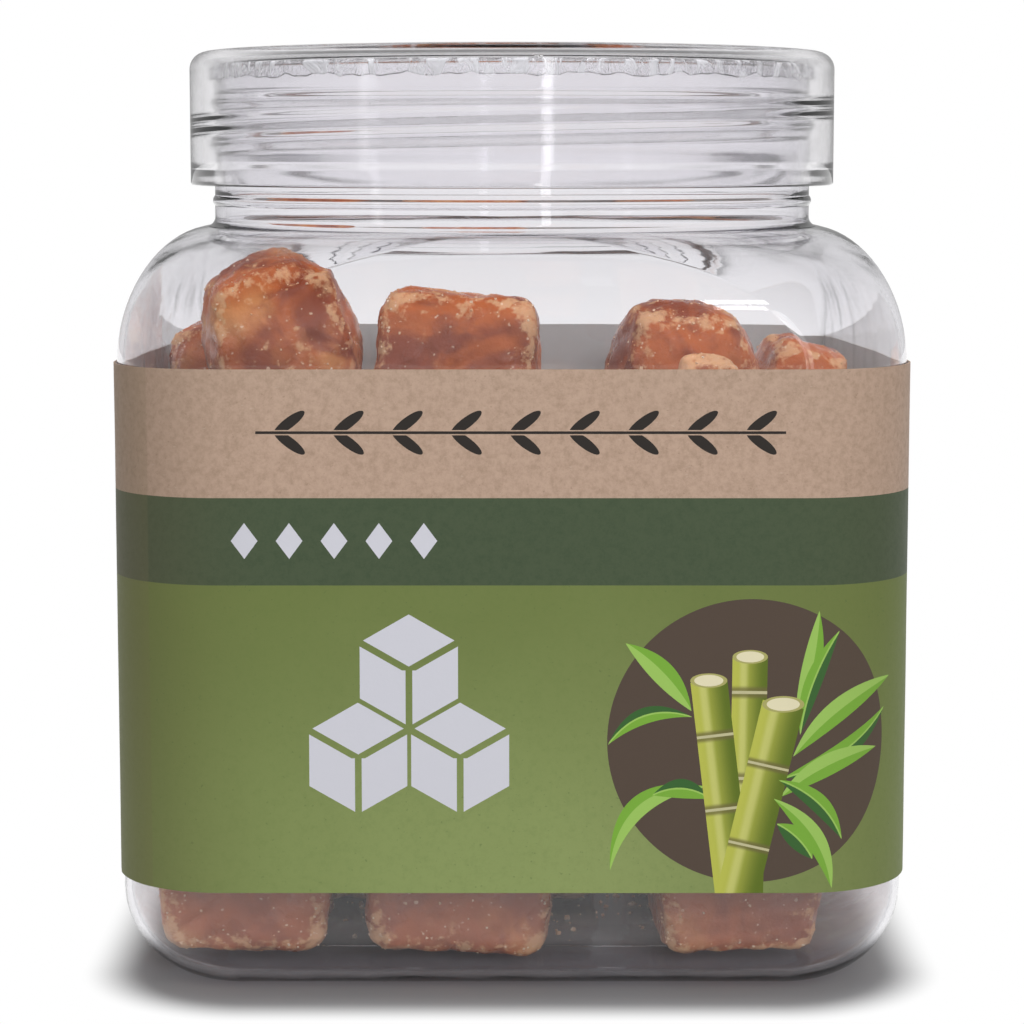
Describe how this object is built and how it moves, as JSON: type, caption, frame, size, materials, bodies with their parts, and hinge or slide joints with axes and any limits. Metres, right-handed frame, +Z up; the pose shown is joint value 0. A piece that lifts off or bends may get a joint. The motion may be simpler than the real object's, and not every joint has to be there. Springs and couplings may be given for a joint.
{
  "type": "jar of jaggery cubes",
  "caption": "Clear square jar with a round screw lid and a paper wrap label, filled with tapered jaggery cubes.",
  "frame": {"origin": "middle of the jar's base, where it stands", "axes": "+Z up through the lid, -Y out of the label's front, +X to the right seen from the front"},
  "size_m": [0.0952, 0.0952, 0.1131],
  "materials": {
    "clear_plastic": "clear, smooth and glossy",
    "seal_film": "clear wrinkled film",
    "label_paper": "matt uncoated paper printed in bands of kraft brown, dark green and leaf green with a brown disc",
    "jaggery": "amber brown cast cane sugar with a grainy pale bloom and soft gloss"
  },
  "bodies": {
    "root": {"jar_body": "clear_plastic", "lid": "clear_plastic", "rim_seal": "seal_film", "label": "label_paper", "jaggery_cube_01": "jaggery", "jaggery_cube_02": "jaggery", "jaggery_cube_03": "jaggery", "jaggery_cube_04": "jaggery", "jaggery_cube_05": "jaggery", "jaggery_cube_06": "jaggery", "jaggery_cube_07": "jaggery", "jaggery_cube_08": "jaggery", "jaggery_cube_09": "jaggery", "jaggery_cube_10": "jaggery", "jaggery_cube_11": "jaggery", "jaggery_cube_12": "jaggery", "jaggery_cube_13": "jaggery", "jaggery_cube_14": "jaggery", "jaggery_cube_15": "jaggery", "jaggery_cube_16": "jaggery", "jaggery_cube_17": "jaggery", "jaggery_cube_18": "jaggery", "jaggery_cube_19": "jaggery", "jaggery_cube_20": "jaggery", "jaggery_cube_21": "jaggery", "jaggery_cube_22": "jaggery", "jaggery_cube_23": "jaggery", "jaggery_cube_24": "jaggery", "jaggery_cube_25": "jaggery", "jaggery_cube_26": "jaggery", "jaggery_cube_27": "jaggery", "jaggery_cube_28": "jaggery", "jaggery_cube_29": "jaggery", "jaggery_cube_30": "jaggery", "jaggery_cube_31": "jaggery", "jaggery_cube_32": "jaggery", "jaggery_cube_33": "jaggery", "jaggery_cube_34": "jaggery", "jaggery_cube_35": "jaggery", "jaggery_cube_36": "jaggery", "jaggery_cube_37": "jaggery", "jaggery_cube_38": "jaggery"}
  },
  "joints": []
}
